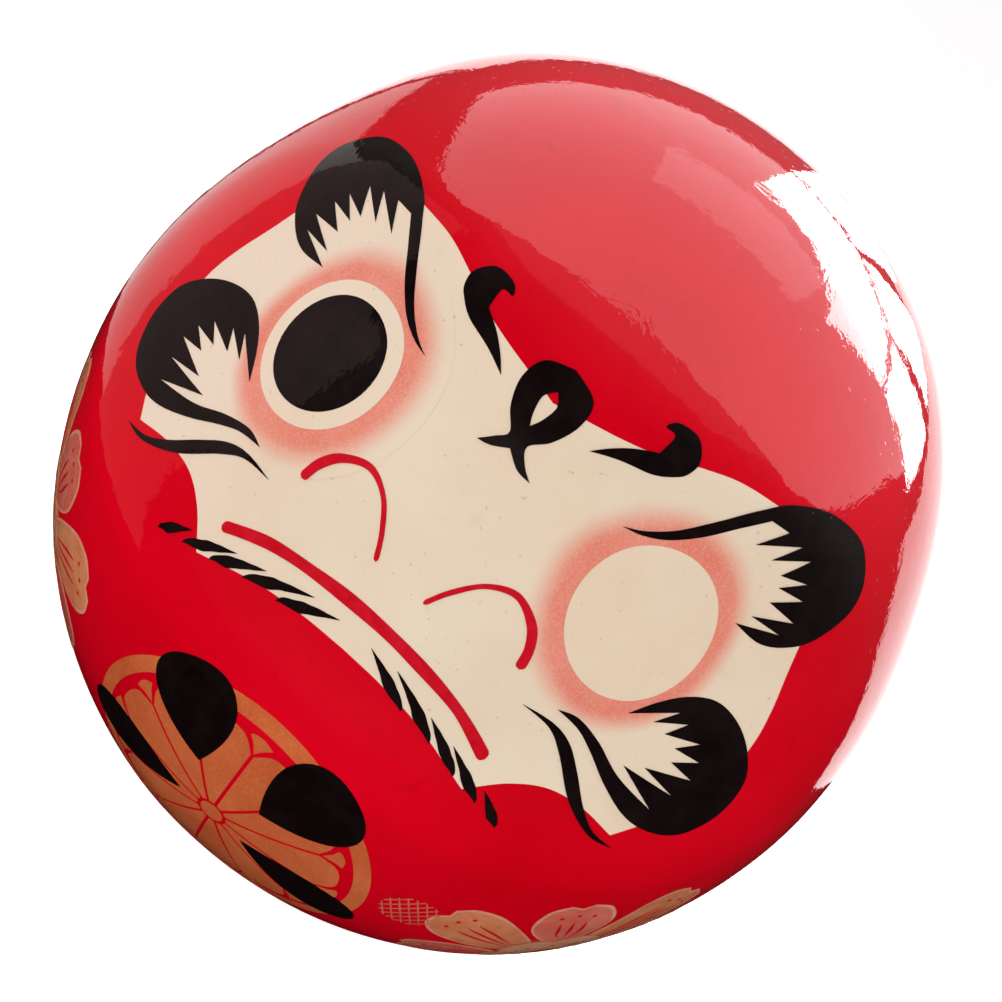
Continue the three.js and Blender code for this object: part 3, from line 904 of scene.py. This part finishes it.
# Black dabs, an upper and a lower pair: the point's distance from the hub, length, width, lean in degrees.
DAB_PAIRS = [(16, 27, 30, 32), (9, 34, 19, 104)]


def petal_outline(angle):
    def half_at(height):
        return height * math.tan(math.pi / CREST_PETALS) - CREST_VEIN / 2

    foot, wide = half_at(CREST_ROOT), half_at(CREST_SHOULDER)
    turn = wide * CREST_ROUND[0]
    high = CREST_SHOULDER + (CREST_TIP - CREST_SHOULDER) * CREST_ROUND[1]
    start = (foot, CREST_ROOT)
    tip = [(turn, high), (0, CREST_TIP), (-turn, high), (-wide, CREST_SHOULDER)]
    upright = outline(start, [[(wide, CREST_SHOULDER)], tip, [(-foot, CREST_ROOT)], [start]])
    return turned(upright, angle) + [0, CREST_Y]


def dab_outline(start, length, width, lean, side):
    """A plain drop that points at the hub and leans away from straight up."""
    count = int(2 * (length + width) / EDGE_STEP)
    turns = np.arange(count) * 2 * math.pi / count
    along = start + length / 2 * (1 - np.cos(turns))
    across = width / 2 * np.sin(turns) * np.sin(turns / 2)
    return turned(np.stack([across, along], axis=1), math.radians(side * lean)) + [0, CREST_Y]


def paint_crest():
    ring = [disc(0, CREST_Y, CREST_OUTER), disc(0, CREST_Y, CREST_INNER)]
    film("crest_ring_paint", CREST_CARD, [ring], 0, "gold_paint", GOLD, ["crest_ring"])
    film("crest_hub_paint", CREST_CARD, [[disc(0, CREST_Y, CREST_HUB)]], 0, "gold_paint", GOLD, ["crest_hub"])
    wedge = outline(CREST_WEDGE[0], [CREST_WEDGE[1:3], CREST_WEDGE[3:]])
    wedges = []
    for index in range(CREST_PETALS):
        angle = 2 * math.pi * index / CREST_PETALS
        petal = petal_outline(angle + math.pi / CREST_PETALS)
        film(f"crest_petal_paint_{index + 1}", CREST_CARD, [[petal]], 0, "gold_paint", GOLD,
             [f"crest_petal_{index + 1}"])
        wedges.append([turned(wedge, angle) + [0, CREST_Y]])
    film("crest_wedges_paint", CREST_CARD, wedges, 0, "gold_paint", GOLD)
    for index, dab in enumerate(DAB_PAIRS):
        for number, side in ((2 * index + 1, -1), (2 * index + 2, 1)):
            film(f"crest_dab_paint_{number}", CREST_CARD, [[dab_outline(*dab, side)]], 1, "black_paint", INK,
                 [f"crest_dab_{number}"])


# ---------------------------------------------------------------- blossoms on the sides

BLOSSOM_RADIUS = 17.0
BLOSSOM_LOBES = 5
BLOSSOM_WAIST = 0.72
BLOSSOM_ROUND = 0.6
BLOSSOM_POINTS = 120
BLOSSOM_EDGE = 1
BLOSSOM_HUB = 4.5
STAMEN_RING = 9.5
STAMEN_RADIUS = 0.9
STAMENS = 10
PETAL_COUNT = 8
PETAL_REACH = (45.0, 38.0)
PETAL_ROOT = 12.0
PETAL_HALF = 10.0
PETAL_EDGE = 0.8
PETAL_DOT = 0.6
PETAL_OFFSET = 0.3
VEIN_WIDTH = 0.9
VEIN_LEANS = (-3.2, 0, 3.2)
DOT_LEANS = (-2, 0, 2)
NET_RADIUS = 7.0
NET_STEP = 2.0
NET_LINE = 0.35
NET_LEAN = 0.6


def blossom_outline(radius):
    turns = np.linspace(0, 2 * math.pi, BLOSSOM_POINTS, endpoint=False)
    lobe = np.abs(np.cos(BLOSSOM_LOBES / 2 * turns)) ** BLOSSOM_ROUND
    reach = radius * (BLOSSOM_WAIST + (1 - BLOSSOM_WAIST) * lobe)
    return np.stack([reach * np.sin(turns), reach * np.cos(turns)], axis=1)


def side_petal(reach, inset, angle):
    """A petal with a round top and a small nick in it, drawn upright and then turned."""
    top, half, root = reach - inset, PETAL_HALF - inset, PETAL_ROOT + inset
    right = [(half * 0.55, root + 4), (half, top - 12), (half * 0.8, top - 3), (half * 0.3, top)]
    nick = [(0, top - 1.6)]
    left = [(-x, y) for x, y in right[::-1]]
    return turned(outline((0, root), [[*right], nick, left[:1], [*left[1:], (0, root)]]), angle)


def petal_vein(reach, lean, angle):
    line = [(lean * 0.3, PETAL_ROOT + 5), (lean * 0.8, reach - 18), (lean, reach - 10)]
    return turned(brush_line(line, VEIN_WIDTH, ends="pressed"), angle)


def petal_dot(reach, lean, angle):
    return turned(disc(2 * lean, reach - 5.5 - abs(lean) / 2, PETAL_DOT), angle)


def net_lines():
    """A lozenge net clipped to a disc."""
    lines = []
    for way in (-1, 1):
        for offset in np.arange(-NET_RADIUS + NET_STEP / 2, NET_RADIUS, NET_STEP):
            half = math.sqrt(NET_RADIUS**2 - offset**2)
            line = brush_line([(offset, -half), (offset, 0), (offset, half)], NET_LINE)
            lines.append([turned(line, way * NET_LEAN)])
    return lines


def mirrored(points, side):
    """Mirrors an outline for the left side and keeps its direction of travel."""
    return points if side > 0 else (points * [-1, 1])[::-1]


def paint_side_petals(word, card, side):
    spots = []
    for index in range(PETAL_COUNT):
        spots.append((PETAL_REACH[index % 2], 2 * math.pi * (index + PETAL_OFFSET) / PETAL_COUNT))
    edges = [[mirrored(side_petal(reach, 0, angle), side)] for reach, angle in spots]
    film(f"side_petal_edges_{word}", card, edges, 0, "blossom_paint", PALE)
    for parity, paint in ((0, BLUSH), (1, PETAL)):
        fills = [[mirrored(side_petal(reach, PETAL_EDGE, angle), side)] for reach, angle in spots[parity::2]]
        film(f"side_petals_{word}_{parity + 1}", card, fills, 1, "blossom_paint", paint)
    lines = [petal_vein(reach, lean, angle) for reach, angle in spots for lean in VEIN_LEANS]
    lines += [petal_dot(reach, lean, angle) for reach, angle in spots for lean in DOT_LEANS]
    veins = [[mirrored(line, side)] for line in lines]
    film(f"side_petal_veins_{word}", card, veins, 2, "red_line_paint", RED_LINE)


def paint_blossom(word, card):
    edge, middle = (blossom_outline(BLOSSOM_RADIUS - inset) for inset in (0, BLOSSOM_EDGE))
    film(f"blossom_edge_{word}", card, [[edge]], 2, "gold_paint", GOLD)
    film(f"blossom_paint_{word}", card, [[middle]], 3, "blossom_paint", PALE, [f"blossom_{word}"])
    hub = disc(0, 0, BLOSSOM_HUB)
    film(f"blossom_hub_paint_{word}", card, [[hub]], 4, "gold_paint", GOLD, [f"blossom_hub_{word}"])
    dots = []
    for index in range(STAMENS):
        angle = 2 * math.pi * index / STAMENS
        dots.append([disc(STAMEN_RING * math.sin(angle), STAMEN_RING * math.cos(angle), STAMEN_RADIUS)])
    film(f"stamens_{word}", card, dots, 4, "gold_paint", GOLD)


def paint_blossoms():
    for word, side in (("left", -1), ("right", 1)):
        paint_side_petals(word, SIDE_CARDS[word], side)
        paint_blossom(word, SIDE_CARDS[word])
    film("net", NET_CARD, net_lines(), 0, "blossom_paint", PETAL)


# ---------------------------------------------------------------- body, base and hidden pieces

def build_body():
    for name, side in (("front_shell", -1), ("rear_shell", 1)):
        piece = half_shell(f"{name}_paper", side)
        declare(piece, "red_lacquer", RED, name)
    base_band(RED)
    for name, material in (("base_board", CARD), ("base_weight", CLAY), ("seam_strip", PAPER)):
        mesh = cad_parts[name].data
        mesh.materials.clear()
        mesh.materials.append(material)


# ---------------------------------------------------------------- studio

def add_panel(name, azimuth, elevation, distance, size, radiance, colour=(1, 1, 1), seen=True, lights=True):
    """A softbox that faces the body. It can be kept out of the reflections, or be seen in them alone."""
    data = bpy.data.lights.new(name, "AREA")
    data.shape = "RECTANGLE"
    data.size, data.size_y = size
    data.energy = radiance * math.pi * size[0] * size[1]
    data.color = colour
    light = bpy.data.objects.new(name, data)
    bpy.context.scene.collection.objects.link(light)
    way = Vector(direction(azimuth, elevation))
    light.location = Vector(CENTRE) + way * distance
    light.rotation_mode = "QUATERNION"
    light.rotation_quaternion = way.to_track_quat("Z", "Y")
    light.visible_camera = False
    light.visible_glossy = seen
    light.visible_diffuse = lights
    return light


WINDOW_AZIMUTH = 150
WINDOW_ELEVATION = 47
WINDOW_COLUMNS = 3
WINDOW_ROWS = 2
WINDOW_DISTANCE = 1.3
WINDOW_RADIANCE = 9.0
PANE_TURN = 21
PANE_RISE = 19
PANE_SIZE = (0.31, 0.40)
CEILING_HEIGHT = 1.2
CEILING_SIZE = (3.4, 1.8)
CEILING_BACK = 0.15
CEILING_SHEEN = 1.4
CEILING_FILL = 1.2
DIM_CEILING_SIZE = (2.6, 1.3)
DIM_CEILING_FRONT = 1.35
DIM_CEILING_SHEEN = 0.22
FLOOR_SIZE = (2.4, 2.4)
FLOOR_LIFT = 1 * MM
FLOOR_FILL = 0.5
FLOOR_WARMTH = (1.0, 0.96, 0.95)

# What the varnish mirrors, and what lights the paint without being mirrored: each panel's name, azimuth,
# elevation, distance, size, radiance and colour.
ROOM_PANELS = [
    ("ceiling_lamp", 180, 80, 1.1, (0.7, 0.3), 0.8, (1.0, 1.0, 1.0)),
    ("left_wall", -112, -2, 1.3, (1.1, 0.95), 0.7, (1.0, 0.92, 0.88)),
    ("left_room", -70, 0, 1.3, (0.9, 1.1), 0.26, (1.0, 0.7, 0.65)),
    ("back_wall", 172, 6, 1.5, (3.4, 1.3), 1.5, (1.0, 0.93, 0.92)),
]
FILL_PANELS = [
    ("front_fill", -15, 25, 1.5, (1.6, 1.4), 2.6, (1.0, 0.97, 0.95)),
    ("left_fill", -90, 5, 1.5, (1.2, 1.0), 1.5, (1.0, 0.95, 0.92)),
    ("right_fill", 85, 5, 1.5, (1.2, 1.0), 2.4, (1.0, 0.97, 0.95)),
    ("back_fill", 170, 50, 1.3, (1.6, 1.2), 3.6, (1.0, 1.0, 1.0)),
]

# The room's glow by height, from straight down to straight up.
ROOM_SHADES = [
    (0.0, (0.001, 0.001, 0.001)), (0.5, (0.02, 0.018, 0.018)), (0.75, (0.10, 0.095, 0.095)),
    (1.0, (0.30, 0.28, 0.28)),
]


def room_glow():
    world = bpy.data.worlds.new("studio")
    bpy.context.scene.world = world
    world.use_nodes = True
    tree = world.node_tree
    sky = tree.nodes["Background"]
    way = add_node(tree, "ShaderNodeTexCoord").outputs["Generated"]
    height = add_node(tree, "ShaderNodeSeparateXYZ", Vector=way).outputs["Z"]
    tree.links.new(ramp(tree, band(tree, height, -1.0, 1.0), ROOM_SHADES), sky.inputs["Color"])
    sky.inputs["Strength"].default_value = 1.0


def studio():
    room_glow()
    for column in range(WINDOW_COLUMNS):
        for row in range(WINDOW_ROWS):
            turn = WINDOW_AZIMUTH + PANE_TURN * (column - 1)
            rise = WINDOW_ELEVATION + PANE_RISE * (row - 0.5)
            name = f"window_{column}_{row}"
            add_panel(name, turn, rise, WINDOW_DISTANCE, PANE_SIZE, WINDOW_RADIANCE, lights=False)
    for name, radiance, seen in (("ceiling", CEILING_SHEEN, True), ("ceiling_fill", CEILING_FILL, False)):
        ceiling = add_panel(name, 0, 90, CEILING_HEIGHT, CEILING_SIZE, radiance, seen=seen, lights=not seen)
        ceiling.location.y += CEILING_BACK
    dim_ceiling = add_panel("dim_ceiling", 0, 90, CEILING_HEIGHT, DIM_CEILING_SIZE, DIM_CEILING_SHEEN,
                            lights=False)
    dim_ceiling.location.y -= DIM_CEILING_FRONT
    for panel in ROOM_PANELS:
        add_panel(*panel, lights=False)
    for panel in FILL_PANELS:
        add_panel(*panel, seen=False)
    floor_fill = add_panel("floor_fill", 0, -90, CENTRE[2], FLOOR_SIZE, FLOOR_FILL, FLOOR_WARMTH, seen=False)
    floor_fill.location.z = FLOOR_LIFT
    stage_bowl()


# The stage: distance from the middle and height of each ring of the floor and the wall.
BOWL_SECTION = [(1.6, 0.0), (1.95, 0.05), (2.2, 0.2), (2.35, 0.45), (2.4, 0.8), (2.4, 3.0)]
BOWL_COLUMNS = 96
BOWL_PALE = (0.86, 0.86, 0.86, 1)
BOWL_GLOW = 0.72


def stage_bowl():
    """A plain pale floor that sweeps up into a wall all round."""
    points, faces = [(0, 0, 0)], []
    for reach, height in BOWL_SECTION:
        for column in range(BOWL_COLUMNS):
            turn = 2 * math.pi * column / BOWL_COLUMNS
            points.append((reach * math.cos(turn), reach * math.sin(turn), height))
    for column in range(BOWL_COLUMNS):
        after = (column + 1) % BOWL_COLUMNS
        faces.append((0, 1 + column, 1 + after))
        for ring in range(len(BOWL_SECTION) - 1):
            low = 1 + ring * BOWL_COLUMNS
            high = low + BOWL_COLUMNS
            faces.append((low + column, high + column, high + after, low + after))
    bowl = mesh_object("stage_bowl", points, faces)
    material, _, shader = new_material("stage_pale")
    shader.inputs["Base Color"].default_value = BOWL_PALE
    shader.inputs["Roughness"].default_value = 0.9
    shader.inputs["Emission Color"].default_value = (1, 1, 1, 1)
    shader.inputs["Emission Strength"].default_value = BOWL_GLOW
    bowl.data.materials.append(material)
    bowl.visible_glossy = False
    bowl.visible_diffuse = False


def add_camera():
    data = bpy.data.cameras.new("camera")
    data.lens = CAMERA_LENS
    data.sensor_width = SENSOR
    data.clip_start = NEAR_CLIP
    camera = bpy.data.objects.new("camera", data)
    bpy.context.scene.collection.objects.link(camera)
    back = Vector(direction(CAMERA_AZIMUTH, CAMERA_ELEVATION))
    level = Vector(direction(CAMERA_AZIMUTH + 90, 0))
    upward = back.cross(level)
    turn = math.radians(CAMERA_ROLL)
    right = level * math.cos(turn) + upward * math.sin(turn)
    top = upward * math.cos(turn) - level * math.sin(turn)
    spot = Vector(CENTRE) + back * CAMERA_DISTANCE + level * CAMERA_SHIFT[0] + upward * CAMERA_SHIFT[1]
    pose = Matrix((right, top, back)).transposed().to_4x4()
    pose.translation = spot
    camera.matrix_world = pose
    bpy.context.scene.camera = camera


add_camera()
build_body()
paint_face()
paint_crest()
paint_blossoms()
studio()
bpy.context.scene.view_settings.view_transform = "Standard"
